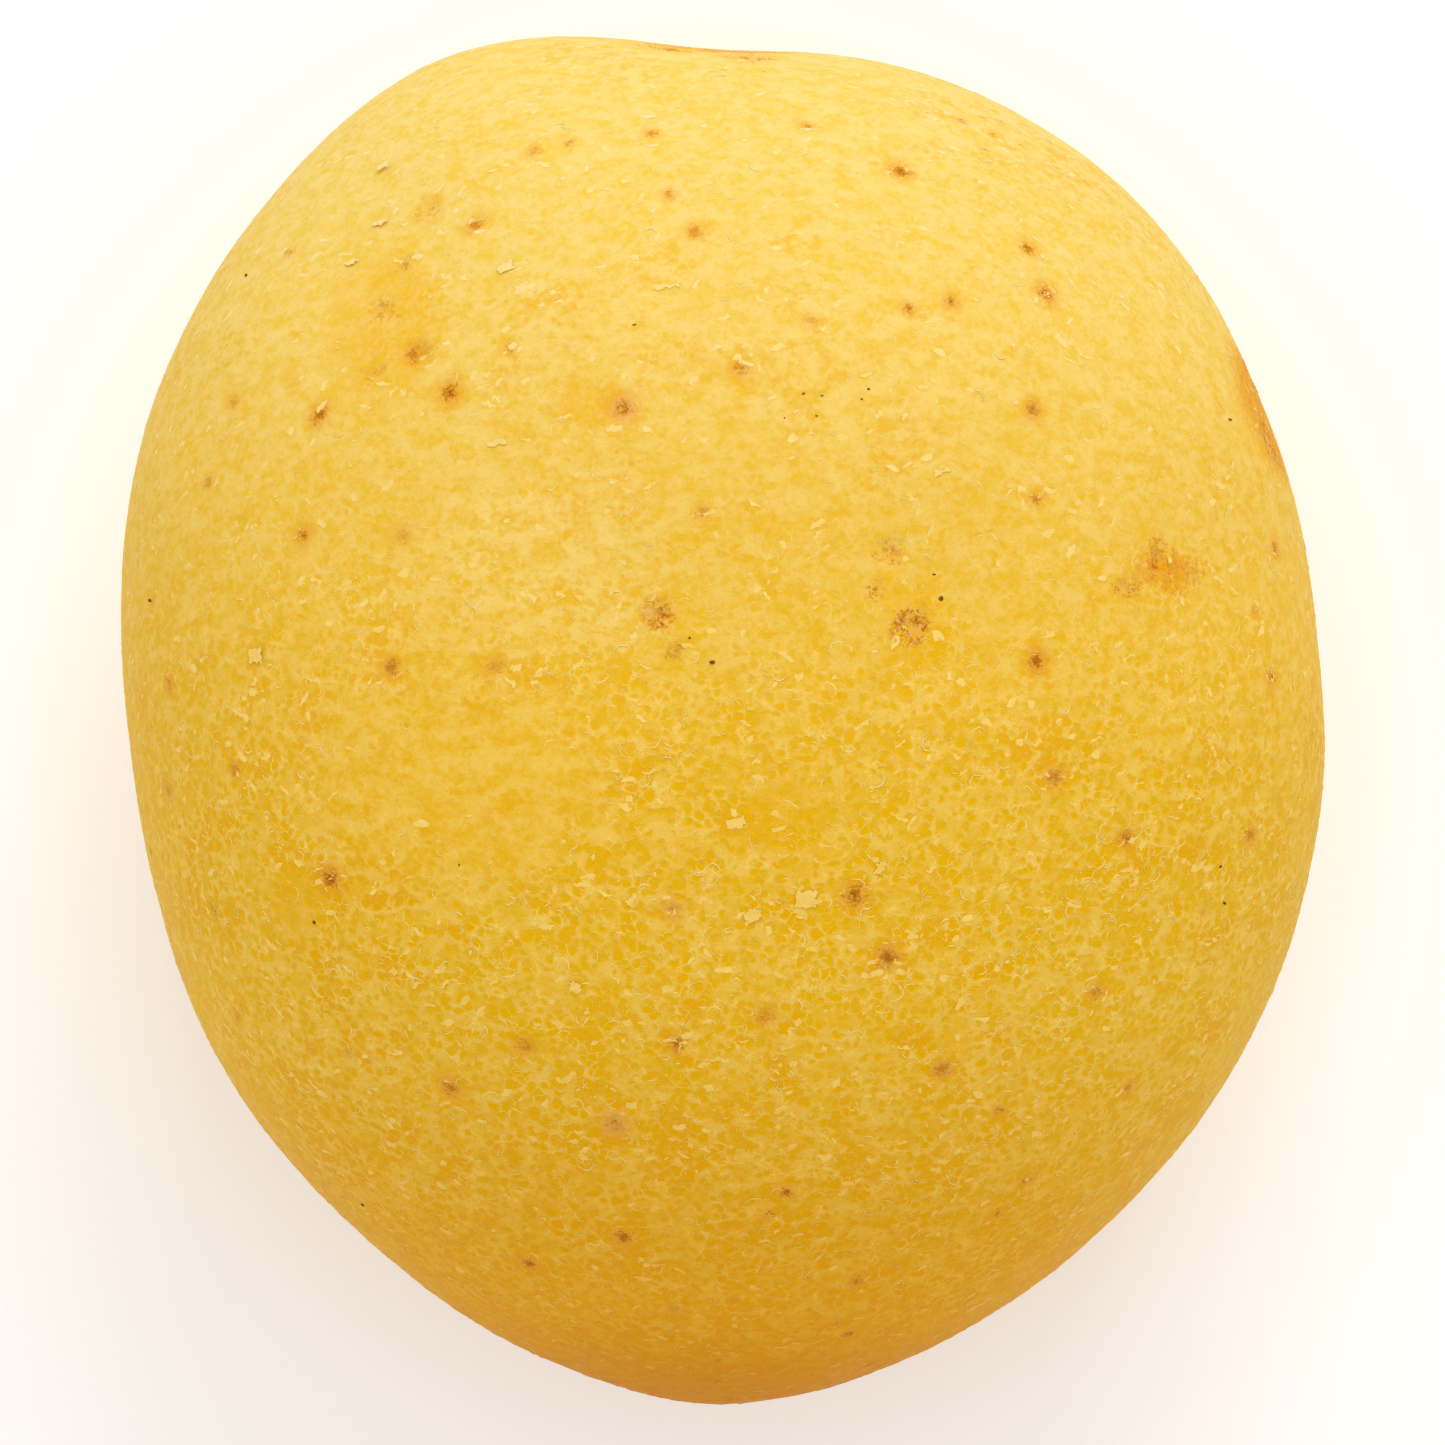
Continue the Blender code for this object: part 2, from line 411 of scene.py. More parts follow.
skinLook = {
    # From the rose end to the stolon end; partly the skin's own tone, partly painted light:
    # paler at the lit rose end, darker towards the stolon end.
    "flesh": [(0.85, 0.555, 0.040, 1), (0.83, 0.450, 0.001, 1), (0.76, 0.30, 0.0005, 1)],
    "film": [(0.86, 0.610, 0.140, 1), (0.85, 0.495, 0.030, 1), (0.76, 0.335, 0.002, 1)],
    "fleshDeep": (0.82, 0.33, 0.001, 1),
    "fleshWorn": (0.85, 0.445, 0.003, 1),
    # Painted shade that darkens the stolon tip, and how strongly it is mixed in.
    "stolonTipShade": (0.60, 0.19, 0.0005, 1),
    "stolonTipShadeShare": 0.65,
    "strand": [(0.93, 0.75, 0.35, 1), (0.95, 0.70, 0.20, 1), (0.84, 0.47, 0.045, 1)],
    "poreTan": (0.78, 0.36, 0.030, 1),
    "porePink": (0.82, 0.42, 0.11, 1),
    "poreBrown": (0.54, 0.175, 0.003, 1),
    "poreDark": (0.28, 0.07, 0.002, 1),
    # Areas: x, y and z of the middle, then the reach along x, y and z, in millimetres.
    "calm": (-14.0, -3.0, 55.0, 11.0, 7.5, 30.0),  # where the film isn't torn
    "paintedHighlight": (-10.0, 8.0, 58.0, 9.0, 6.5, 30.0),  # a painted highlight, where the film is made palest
    "worn": [  # where orange flesh shows through
        (-18.6, 22.0, 48.0, 4.2, 5.4, 20.0), (3.4, -5.0, 59.0, 3.6, 3.0, 20.0),
        (-7.2, 17.2, 54.0, 2.4, 1.5, 20.0), (10.6, 5.4, 57.0, 2.8, 3.0, 20.0),
        (-23.4, -10.0, 48.0, 2.6, 3.6, 20.0), (31.0, 17.8, 36.0, 3.6, 5.0, 9.0),
        (-2.4, 39.4, 32.0, 6.0, 2.0, 5.0),
    ],
    "scabs": [  # where tan and brown cork has healed over it
        (30.8, 18.8, 36.5, 3.0, 4.4, 8.0), (31.4, 15.6, 35.5, 2.6, 2.4, 6.5),
        (0.6, 39.4, 32.0, 5.5, 1.6, 3.5), (24.6, 8.4, 46.0, 2.8, 1.5, 20.0),
    ],
    # Noise cells in a millimetre.
    "swirlScale": 0.8,
    "crumbScale": 2.6,
    "gritScale": 5.5,
    "broadScale": 0.075,
    "patchScale": 0.33,
    "streakScale": 0.9,
    "netScale": 1.55,
    # Shares of one colour over another.
    "filmPale": 0.32,
    "highlightPale": 0.22,
    "filmThin": 0.7,
    "strandPale": 0.45,
    "deepFlesh": 0.35,
    "scabOrange": 0.7,
    "scabCork": 0.8,
    "roughness": 0.56,
    "shine": 0.02,
    "reliefMm": 0.030,  # height of the torn film over the flesh
}


def nearestSpot(graph, place, name, warp):
    # Distance in millimetres to the nearest seed, its look, and 0 where two seeds are equally near.
    centre = graph.attribute(name + "Centre")
    radius, strength, third = graph.parts(graph.attribute(name + "Look"))
    edge = graph.attribute(name + "Edge", "Fac")
    away = graph.vector("SUBTRACT", place, centre)
    distance = graph.vector("LENGTH", graph.vector("ADD", away, warp))
    return distance, radius, strength, third, graph.step(edge, 0.75, 1.05)


def centred(graph, colour, size):
    # A noise colour as an offset of up to half the size each way.
    return graph.scaled(graph.vector("SUBTRACT", colour, (0.5, 0.5, 0.5)), size)


def alongTuber(graph, yMm, tones):
    # A colour from the rose end's tone through the middle's to the stolon end's, partly painted light
    # and shade;
    # painted shade then darkens the stolon tip.
    rose, centre, stolon = tones
    upper = graph.mixColour(graph.step(yMm, 40, -6), rose, centre)
    lower = graph.mixColour(graph.step(yMm, -12, -42), upper, stolon)
    # Painted shade on the stolon tip.
    tipShade = graph.step(yMm, -32, -40.5) * skinLook["stolonTipShadeShare"]
    return graph.mixColour(tipShade, lower, skinLook["stolonTipShade"])


def insideArea(graph, place, area):
    # 1 well inside an area and 0 outside it; the place is given as three wires in millimetres.
    x, y, z = [(part - centre) / reach for part, centre, reach in zip(place, area[:3], area[3:])]
    return graph.step(x * x + y * y + z * z, 1.0, 0.1)


def insideAny(graph, place, areas, least):
    share = least
    for area in areas:
        share = graph.math("MAXIMUM", share, insideArea(graph, place, area))
    return share


def makeSkinMaterial():
    material, graph, shader = newMaterial("potatoSkin")
    look = skinLook
    place = millimetrePlace(graph)
    xMm, yMm, zMm = graph.parts(place)
    swirl = graph.noise(place, look["swirlScale"], 2.0, output="Color")
    crumb = graph.noise(place, look["crumbScale"], 3.0, 0.62, output="Color")
    grit = graph.noise(place, look["gritScale"], 2.0, 0.6, output="Color")
    broad = graph.noise(place, look["broadScale"], 2.0)
    patch = graph.noise(place, look["patchScale"], 2.0, 0.55)
    curled = graph.vector("ADD", place, centred(graph, swirl, 1.0))
    # Streaks run across the tuber, so this place is squeezed along it.
    squeezed = graph.vector("MULTIPLY", curled, (0.8, 1.25, 0.9))
    streak = graph.noise(squeezed, look["streakScale"], 3.0, 0.6)
    crumbA, crumbB, crumbC = graph.parts(crumb)
    gritA, gritB, gritC = graph.parts(grit)

    # The film is netted towards the stolon end and whole, with pale streaks, towards the rose end.
    netted = graph.step(yMm + 16 * (broad - 0.5), 16, -6)
    uneven = (xMm + 6 * (patch - 0.5), yMm, zMm)
    netted = netted * (1 - insideArea(graph, uneven, look["calm"]))
    cellPlace = graph.vector("ADD", curled, centred(graph, crumb, 0.35))
    cells = {"Vector": cellPlace, "Scale": look["netScale"], "Randomness": 1.0}
    cell = graph.add("ShaderNodeTexVoronoi", {"feature": "F1"}, cells, "Distance")
    cellEdge = graph.add("ShaderNodeTexVoronoi", {"feature": "DISTANCE_TO_EDGE"}, cells)
    level = 0.36 + 1.1 * (patch - 0.5) + 0.16 * (netted - 0.5)
    bare = graph.step(cell + 0.55 * (crumbA - 0.5) - level, 0.16, -0.16)
    bare = bare * (0.35 + 0.65 * netted)

    # Pale strands run along the net and are broken up into arcs.
    broken = graph.step(graph.parts(swirl)[1], 0.50, 0.58)
    strand = (1 - graph.step(cellEdge, 0.01, 0.08)) * broken
    ridge = 1 - graph.step(graph.math("ABSOLUTE", crumbB - 0.5), 0.004, 0.022)
    strand = graph.math("MAXIMUM", strand, ridge * 0.8 * (1 - broken)) * (0.3 + 0.7 * netted)

    deep = graph.step(broad * 0.5 + patch * 0.5, 0.50, 0.64)
    # The tones along the tuber are partly painted light and shade: paler at the lit rose end, darker
    # towards the stolon end.
    flesh = alongTuber(graph, yMm, look["flesh"])
    flesh = graph.mixColour(deep * look["deepFlesh"], flesh, look["fleshDeep"])
    pale = alongTuber(graph, yMm, look["strand"])
    film = alongTuber(graph, yMm, look["film"])
    filmTone = graph.step(streak * 0.5 + crumbC * 0.25 + gritB * 0.25, 0.43, 0.61)
    # A painted highlight: the film is made paler in one area of the face.
    paintedHighlight = insideArea(graph, (xMm, yMm, zMm), look["paintedHighlight"])
    film = graph.mixColour(filmTone * look["filmPale"] + paintedHighlight * look["highlightPale"], film, pale)
    thin = graph.step(streak * 0.5 + crumbA * 0.5, 0.52, 0.38) * look["filmThin"]
    film = graph.mixColour(thin, film, flesh)
    colour = graph.mixColour(bare, film, flesh)
    colour = graph.mixColour(strand * look["strandPale"], colour, pale)

    # Worn places show orange flesh, and scabs orange flesh under tan and brown cork.
    warp = centred(graph, swirl, 2.4)
    distance, radius, strength, orange, valid = nearestSpot(graph, place, "eye", warp)
    near = distance / radius
    mottle = graph.step(patch * 0.3 + crumbC * 0.7, 0.38, 0.60)
    worn = graph.step(near, 1.6, 0.6) * valid * orange
    ragged = (xMm + 4 * (crumbA - 0.5), yMm + 4 * (crumbC - 0.5), zMm + 6 * (crumbB - 0.5))
    worn = insideAny(graph, ragged, look["worn"], worn)
    colour = graph.mixColour(worn * (0.25 + 0.5 * mottle), colour, look["fleshWorn"])
    scab = insideAny(graph, ragged, look["scabs"], 0.0)
    cork = graph.mixColour(graph.step(gritA, 0.45, 0.70), look["poreTan"], look["poreBrown"])
    colour = graph.mixColour(scab * look["scabOrange"], colour, look["fleshDeep"])
    flecks = scab * graph.step(crumbB, 0.45, 0.58)
    colour = graph.mixColour(flecks * look["scabCork"], colour, cork)

    # Eyes hold pinkish crumbs and brown flecks.
    inside = graph.step(near, 1.3, 0.3) * valid * strength
    tan = graph.step(gritA * 0.3 + crumbB * 0.7 + 0.07 * inside, 0.54, 0.60) * inside
    flecks = graph.step(gritB * 0.3 + crumbA * 0.7 + 0.08 * inside, 0.54, 0.60) * inside
    colour = graph.mixColour(flecks * 0.85, colour, look["poreBrown"])
    colour = graph.mixColour(tan * 0.8, colour, look["porePink"])

    # Pores: deeper flesh round ragged tan or pinkish cork, with a brown middle and dark splits.
    warp = centred(graph, crumb, 1.0)
    distance, radius, strength, pink, valid = nearestSpot(graph, place, "pore", warp)
    near = distance / radius
    strength = strength * valid
    halo = graph.step(near, 2.8, 0.9) * strength
    ring = graph.step(near + 2.0 * (gritA - 0.5), 1.6, 0.7) * strength
    core = graph.step(near + 2.0 * (gritB - 0.5), 0.95, 0.35) * strength
    split = graph.step(near + 1.4 * (gritC - 0.5), 0.50, 0.15) * graph.step(strength, 0.6, 1.0)
    cork = graph.mixColour(pink, look["poreTan"], look["porePink"])
    colour = graph.mixColour(halo * 0.5, colour, look["fleshDeep"])
    colour = graph.mixColour(ring * 0.85, colour, cork)
    colour = graph.mixColour(core * (0.85 - pink * 0.6), colour, look["poreBrown"])
    colour = graph.mixColour(split * (1 - pink) * 0.7, colour, look["poreDark"])

    # The film's own thickness, its strands and a fine grain.
    height = (1 - bare) * 0.7 + strand * 0.3 + crumbA * 0.8 + gritC * 0.7 - core * 1.2
    bump = {"Height": height, "Distance": look["reliefMm"] * millimetre, "Strength": 1.0}
    graph.join(graph.add("ShaderNodeBump", {}, bump), shader.inputs["Normal"])
    graph.join(colour, shader.inputs["Base Color"])
    graph.join(look["roughness"] - bare * 0.10 + strand * 0.08, shader.inputs["Roughness"])
    shader.inputs["Specular IOR Level"].default_value = look["shine"]
    return material


skinSizes = {
    "Tuber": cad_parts["potato"],
    "Pores": poreObject,
    "Eyes": eyeObject,
    "Cells per side": 128,
    "Subdivisions": 2,  # of the CAD shape that the skin is laid over
    "Merging distance": 0.000001,
    "Casting distance": 0.1,
    "Smoothing passes": 24,
    "Broad lump height": 0.00022,
    "Broad lumps per metre": 75.0,
    "Small lump height": 0.00005,
    "Small lumps per metre": 260.0,
    "Grain height": 0.000022,
    "Grains per metre": 1100.0,
    "Pore depth": 0.00007,
    "Eye depth": 0.00028,
    "Foot height": 0.0022,  # the relief fades out below this, so that the flat spot stays flat
    "Material": makeSkinMaterial(),
}


def nearestSeed(graph, label, place):
    # Distance from each point to the nearest seed and that seed's look.
    seeds = graph.shapeOf(label)
    index = graph.add("GeometryNodeSampleNearest", {}, {"Geometry": seeds, "Sample Position": place})
    vectors = {"data_type": "FLOAT_VECTOR"}
    pull = {"Geometry": seeds, "Index": index, "Value": place}
    centre = graph.add("GeometryNodeSampleIndex", vectors, pull)
    look = graph.add("GeometryNodeSampleIndex", vectors, {**pull, "Value": graph.kept("look")})
    return graph.vector("DISTANCE", place, centre), look


def makeSkin():
    graph = GeometryGraph("potatoSkinTree", skinSizes)
    cells = graph.given("Cells per side") + 1
    counts = {"Vertices X": cells, "Vertices Y": cells, "Vertices Z": cells, "Size": (2, 2, 2)}
    ball = graph.add("GeometryNodeMeshCube", {}, counts)
    # Bending the cube's cells by the tangent makes them nearly the same size on the ball.
    cube = graph.scaled(graph.place(), math.pi / 4)
    aim = graph.vector("NORMALIZE", graph.vector("TANGENT", cube))
    cad = {"Geometry": graph.shapeOf("Tuber"), "Distance": graph.given("Merging distance")}
    cad = graph.add("GeometryNodeMergeByDistance", {}, cad)
    finer = {"Mesh": cad, "Level": graph.given("Subdivisions")}
    cad = graph.add("GeometryNodeSubdivisionSurface", {}, finer)
    reach = graph.given("Casting distance")
    start = graph.vector("ADD", graph.scaled(aim, reach), tuple(middle))
    ray = {"Target Geometry": cad, "Source Position": start, "Ray Length": reach}
    ray["Ray Direction"] = graph.scaled(aim, -1)
    hit = graph.add("GeometryNodeRaycast", {}, ray, "Hit Position")
    skin = graph.moved(ball, Position=hit)
    blur = {"Value": graph.place(), "Iterations": graph.given("Smoothing passes")}
    smooth = graph.add("GeometryNodeBlurAttribute", {"data_type": "FLOAT_VECTOR"}, blur)
    skin = graph.moved(skin, Position=smooth)

    place = graph.place()
    poreDistance, poreLook = nearestSeed(graph, "Pores", place)
    eyeDistance, eyeLook = nearestSeed(graph, "Eyes", place)
    poreRadius = graph.parts(poreLook)[0] * millimetre
    eyeRadius = graph.parts(eyeLook)[0] * millimetre
    broad = graph.noise(place, graph.given("Broad lumps per metre"), 1.0) - 0.5
    small = graph.noise(place, graph.given("Small lumps per metre"), 2.0) - 0.5
    grain = graph.noise(place, graph.given("Grains per metre"), 2.0) - 0.5
    relief = broad * 2 * graph.given("Broad lump height")
    relief = relief + small * 2 * graph.given("Small lump height")
    relief = relief + grain * 2 * graph.given("Grain height")
    relief = relief - graph.step(poreDistance, poreRadius * 1.6, 0) * graph.given("Pore depth")
    relief = relief - graph.step(eyeDistance, eyeRadius * 0.8, 0) * graph.given("Eye depth")
    relief = relief * graph.step(graph.parts(place)[2], 0, graph.given("Foot height"))
    offset = graph.scaled(graph.add("GeometryNodeInputNormal"), relief)
    skin = graph.moved(skin, Offset=offset)
    skin = graph.add("GeometryNodeSetShadeSmooth", {}, {"Geometry": skin})
    graph.finish(skin)
    return graph.grow("potato_skin")


def markNearest(piece, name, seeds):
    # Stores each point's nearest seed in millimetres, its look, and how much nearer it is than the next.
    tree = KDTree(len(seeds))
    for index, (place, look) in enumerate(seeds):
        tree.insert(place, index)
    tree.balance()
    centres = []
    looks = []
    edges = []
    for vertex in piece.data.vertices:
        (place, index, distance), (_, _, nextDistance) = tree.find_n(vertex.co, 2)
        centres += [part / millimetre for part in place]
        looks += seeds[index][1]
        edges.append((nextDistance - distance) / millimetre)
    attributes = piece.data.attributes
    attributes.new(name + "Centre", "FLOAT_VECTOR", "POINT").data.foreach_set("vector", centres)
    attributes.new(name + "Look", "FLOAT_VECTOR", "POINT").data.foreach_set("vector", looks)
    attributes.new(name + "Edge", "FLOAT", "POINT").data.foreach_set("value", edges)


skin = makeSkin()
markNearest(skin, "pore", poreSeeds)
markNearest(skin, "eye", eyeSeeds)
settle(skin, ["potato"])


# Curls, flakes and crumbs of torn film and cork

# How the torn pieces lie.
tornFilm = {
    "torn": (0.016, -0.010),  # y at which tearing starts, and at which it is complete
    "edgeWander": 0.016,
    "edgeWavesPerMetre": 80.0,
    "clumpsPerMetre": 330.0,
    "betweenClumps": 0.25,  # share of the pieces that is left between the clumps
    "calmLoss": 0.9,  # share of the pieces that is missing in the calm area
    "foot": (0.002, 0.026),  # height up to which there are no pieces, and from which there are all
    "leastLean": -0.04,  # radians; below 0 a piece tips into the skin
}
filmLook = {
    "toneScale": 0.6,  # noise cells in a millimetre
    "fineToneScale": 4.0,
    "toneSpread": 1.6,
    "roughnessSpread": 0.15,
    "shine": 0.2,
}


def makeFilmMaterial(name, paleShare, roughness):
    material, graph, shader = newMaterial(name)
    place = millimetrePlace(graph)
    yMm = graph.parts(place)[1]
    tone = graph.noise(place, filmLook["toneScale"], 2.0) * 0.6
    tone = tone + graph.noise(place, filmLook["fineToneScale"], 2.0) * 0.4
    # The tone along the tuber carries the same painted light and shade as the skin.
    film = alongTuber(graph, yMm, skinLook["film"])
    pale = alongTuber(graph, yMm, skinLook["strand"])
    colour = graph.mixColour(paleShare + filmLook["toneSpread"] * (tone - 0.5), film, pale)
    graph.join(colour, shader.inputs["Base Color"])
    graph.join(roughness + filmLook["roughnessSpread"] * tone, shader.inputs["Roughness"])
    shader.inputs["Specular IOR Level"].default_value = filmLook["shine"]
    return material


def tornShare(graph):
    # How torn the film is: 1 towards the stolon end, the rose end's share at the other, 0 on the foot.
    place = graph.place()
    y, z = graph.parts(place)[1:]
    wander = graph.noise(place, tornFilm["edgeWavesPerMetre"], 1.0) - 0.5
    share = graph.step(y + tornFilm["edgeWander"] * wander, *tornFilm["torn"])
    clump = graph.noise(place, tornFilm["clumpsPerMetre"], 2.0)
    clump = graph.step(clump, graph.given("Clumps from"), graph.given("Clumps full"))
    between = tornFilm["betweenClumps"]
    share = graph.mixValue(share, graph.given("Share at rose end"), 1.0)
    share = share * (between + (1 - between) * clump)
    placeMm = graph.parts(graph.scaled(place, 1 / millimetre))
    calm = insideArea(graph, placeMm, skinLook["calm"])
    return share * (1 - tornFilm["calmLoss"] * calm) * graph.step(z, *tornFilm["foot"])


def spread(graph, share):
    # Points on the skin, no nearer to each other than the spacing, with a random spin about its normal.
    inputs = {"Mesh": graph.shapeOf("Skin"), "Seed": graph.given("Seed"), "Density Factor": share}
    inputs["Distance Min"] = graph.given("Spacing")
    inputs["Density Max"] = graph.given("Per square metre")
    settings = {"distribute_method": "POISSON"}
    points = graph.add("GeometryNodeDistributePointsOnFaces", settings, inputs)
    spin = {"Axis": (0, 0, 1), "Angle": graph.random(0.0, 2 * math.pi, seed=3)}
    spin = graph.add("FunctionNodeAxisAngleToRotation", {}, spin)
    turn = {"Rotation": points.other("Rotation"), "Rotate By": spin}
    return points, graph.add("FunctionNodeRotateRotation", {"rotation_space": "LOCAL"}, turn)


def leaned(graph, rotation, seed):
    # Tips each piece a little off the skin.
    angle = graph.random(tornFilm["leastLean"], graph.given("Lean"), seed)
    lean = {"Axis": (1, 0, 0), "Angle": angle}
    lean = graph.add("FunctionNodeAxisAngleToRotation", {}, lean)
    turn = {"Rotation": rotation, "Rotate By": lean}
    return graph.add("FunctionNodeRotateRotation", {"rotation_space": "LOCAL"}, turn)


def randomScale(graph, seed):
    return graph.random(graph.given("Smallest"), graph.given("Largest"), seed, "FLOAT_VECTOR")


def placed(graph, points, normal, copies):
    # Puts copies on the points and keeps the skin's normal on them as "up".
    keep = {"Geometry": points, "Name": "up", "Value": normal}
    points = graph.add("GeometryNodeStoreNamedAttribute", {"data_type": "FLOAT_VECTOR"}, keep)
    copies = graph.add("GeometryNodeInstanceOnPoints", {}, {"Points": points, **copies})
    return graph.add("GeometryNodeRealizeInstances", {}, {"Geometry": copies})


def warped(graph, geometry):
    # Bends the copies out of true by a fine field, mostly along the skin so that they stay on it.
    field = graph.noise(graph.place(), graph.given("Warps per metre"), 2.0, output="Color")
    offset = centred(graph, field, graph.given("Warp") * 2)
    up = graph.kept("up")
    rise = graph.vector("DOT_PRODUCT", offset, up)
    held = graph.scaled(up, rise * (graph.given("Rise") - 1))
    return graph.moved(geometry, Offset=graph.vector("ADD", offset, held))


curlSizes = {
    "Skin": skin,
    "Spacing": 0.00032,  # least distance between two curls
    "Per square metre": 2000000.0,
    "Share at rose end": 0.14,
    "Clumps from": 0.38,
    "Clumps full": 0.60,
    "Arc radius": 0.00033,
    "Thread radius": 0.000055,
    "Smallest": (0.5, 0.35, 0.25),  # least scale along, across and off the skin
    "Largest": (1.5, 1.3, 0.5),
    "Warp": 0.00018,
    "Warps per metre": 1300.0,
    "Rise": 0.25,  # share of the warp that lifts the curls off the skin
    "Lean": 0.06,  # most that a curl tips off the skin, in radians
    "Segments": 5,
    "Seed": 7,
    "Material": makeFilmMaterial("curledFilm", paleShare=0.95, roughness=0.5),
}
curlSweeps = [45, 80, 125, 190]  # degrees of arc that a curl may turn through


def makeCurls():
    graph = GeometryGraph("curlTree", curlSizes)
    points, turned = spread(graph, tornShare(graph))
    thread = {"Resolution": 3, "Radius": graph.given("Thread radius")}
    thread = graph.add("GeometryNodeCurvePrimitiveCircle", {"mode": "RADIUS"}, thread)
    # One edge of the three-sided thread points up and its flat side lies on the skin.
    upright = {"Geometry": thread, "Rotation": (0, 0, -math.pi / 2)}
    thread = graph.add("GeometryNodeTransform", {}, upright)
    chosen = graph.add("GeometryNodeGeometryToInstance")
    for sweep in curlSweeps:
        arc = {"Resolution": graph.given("Segments"), "Radius": graph.given("Arc radius")}
        arc["Sweep Angle"] = math.radians(sweep)
        arc = graph.add("GeometryNodeCurveArc", {"mode": "RADIUS"}, arc)
        along = graph.add("GeometryNodeSplineParameter", {}, {}, "Factor")
        taper = 0.35 + 0.65 * graph.math("SINE", along * math.pi)
        solid = {"Curve": arc, "Profile Curve": thread, "Scale": taper, "Fill Caps": True}
        solid = graph.add("GeometryNodeCurveToMesh", {}, solid)
        graph.join(solid, chosen.socket.node.inputs[0])
    copies = {"Instance": chosen, "Pick Instance": True}
    copies["Rotation"] = leaned(graph, turned, seed=4)
    copies["Instance Index"] = graph.random(0, len(curlSweeps) - 1, 5, "INT")
    copies["Scale"] = randomScale(graph, seed=9)
    graph.finish(warped(graph, placed(graph, points, points.other("Normal"), copies)))
    return graph.grow("film_curls")


flakeSizes = {
    "Skin": skin,
    "Flaps": flapObject,
    "Flap lift": 0.000006,
    "Spacing": 0.00050,
    "Per square metre": 900000.0,
    "Share at rose end": 0.75,
    "Clumps from": 0.50,
    "Clumps full": 0.66,
    "Flake radius": 0.00022,
    "Flake thickness": 0.000018,
    "Smallest": (0.4, 0.25, 0.8),
    "Largest": (2.2, 0.9, 1.2),
    "Warp": 0.00040,
    "Warps per metre": 3600.0,
    "Rise": 0.12,
    "Lean": 0.05,
    "Along the streaks": 0.7,  # how strictly the flakes lie across the tuber
    "Streak direction": (1.0, 0.15, 0.0),
    "Corners": 11,
    "Seed": 23,
    "Material": makeFilmMaterial("flakedFilm", paleShare=0.55, roughness=0.55),
}


def looseFlaps(graph):
    # Each larger flap lies on the skin at its own place.
    length, width, turn = graph.parts(graph.kept("look"))
    nearest = {"Mesh": graph.shapeOf("Skin"), "Value": graph.add("GeometryNodeInputNormal")}
    settings = {"data_type": "FLOAT_VECTOR"}
    up = graph.add("GeometryNodeSampleNearestSurface", settings, nearest)
    seeds = graph.moved(graph.shapeOf("Flaps"), Offset=graph.scaled(up, graph.given("Flap lift")))
    seeds = graph.add("GeometryNodeMeshToPoints", {}, {"Mesh": seeds})
    spin = graph.add("FunctionNodeAxisAngleToRotation", {}, {"Axis": (0, 0, 1), "Angle": turn})
    upright = {"Rotation": spin, "Vector": up}
    turned = graph.add("FunctionNodeAlignRotationToVector", {"axis": "Z"}, upright)
    counts = {"Vertices X": 12, "Vertices Y": 10, "Vertices Z": 2}
    plate = graph.add("GeometryNodeMeshCube", {}, {"Size": (2, 2, 1), **counts})
    size = {"X": length * millimetre, "Y": width * millimetre, "Z": graph.given("Flake thickness")}
    size = graph.add("ShaderNodeCombineXYZ", {}, size)
    return placed(graph, seeds, up, {"Instance": plate, "Rotation": turned, "Scale": size})


def makeFlakes():
    graph = GeometryGraph("flakeTree", flakeSizes)
    points, turned = spread(graph, tornShare(graph))
    plate = {"Vertices": graph.given("Corners"), "Radius": graph.given("Flake radius")}
    plate["Depth"] = graph.given("Flake thickness")
    plate = graph.add("GeometryNodeMeshCylinder", {}, plate)
    across = {"Rotation": turned, "Factor": graph.given("Along the streaks")}
    across["Vector"] = graph.given("Streak direction")
    settings = {"axis": "X", "pivot_axis": "Z"}
    turned = graph.add("FunctionNodeAlignRotationToVector", settings, across)
    copies = {"Instance": plate, "Rotation": leaned(graph, turned, seed=14)}
    copies["Scale"] = randomScale(graph, seed=19)
    both = graph.add("GeometryNodeJoinGeometry")
    for flakes in (placed(graph, points, points.other("Normal"), copies), looseFlaps(graph)):
        graph.join(flakes, both.socket.node.inputs[0])
    graph.finish(warped(graph, both))
    return graph.grow("film_flakes")


corkLook = {
    "toneScale": 3.0,  # noise cells in a millimetre
    "grainScale": 9.0,
    "grainMm": 0.03,
    "grainStrength": 0.8,
    "shine": 0.05,
}


def makeCorkMaterial():
    material, graph, shader = newMaterial("corkCrumbs")
    place = millimetrePlace(graph)
    depth = graph.attribute("corkDepth", "Fac")
    tone = graph.noise(place, corkLook["toneScale"], 2.0)
    # The tone along the tuber carries the same painted light and shade as the skin.
    film = alongTuber(graph, graph.parts(place)[1], skinLook["film"])
    tan = graph.step(depth + 0.5 * (tone - 0.5), 0.05, 0.45)
    colour = graph.mixColour(tan, film, skinLook["poreTan"])
    brown = graph.step(depth + 1.6 * (tone - 0.5), 0.50, 0.90)
    colour = graph.mixColour(brown, colour, skinLook["poreBrown"])
    grain = {"Height": graph.noise(place, corkLook["grainScale"], 2.0)}
    grain["Distance"] = corkLook["grainMm"] * millimetre
    grain["Strength"] = corkLook["grainStrength"]
    graph.join(colour, shader.inputs["Base Color"])
    graph.join(0.6 + 0.2 * tone, shader.inputs["Roughness"])
    graph.join(graph.add("ShaderNodeBump", {}, grain), shader.inputs["Normal"])
    shader.inputs["Specular IOR Level"].default_value = corkLook["shine"]
    return material


crumbSizes = {
    "Skin": skin,
    "Pores": poreObject,
    "Eyes": eyeObject,
    "Spacing": 0.00012,
    "Per square metre": 40000000.0,
    "Crumb radius": 0.00012,
    "Smallest": (0.6, 0.35, 0.15),
    "Largest": (1.7, 0.9, 0.6),
    "Warp": 0.00008,
    "Warps per metre": 3000.0,
    "Rise": 0.8,
    "Lean": 0.5,
    "Eye patches per metre": 900.0,
    "Seed": 31,
    "Material": makeCorkMaterial(),
}


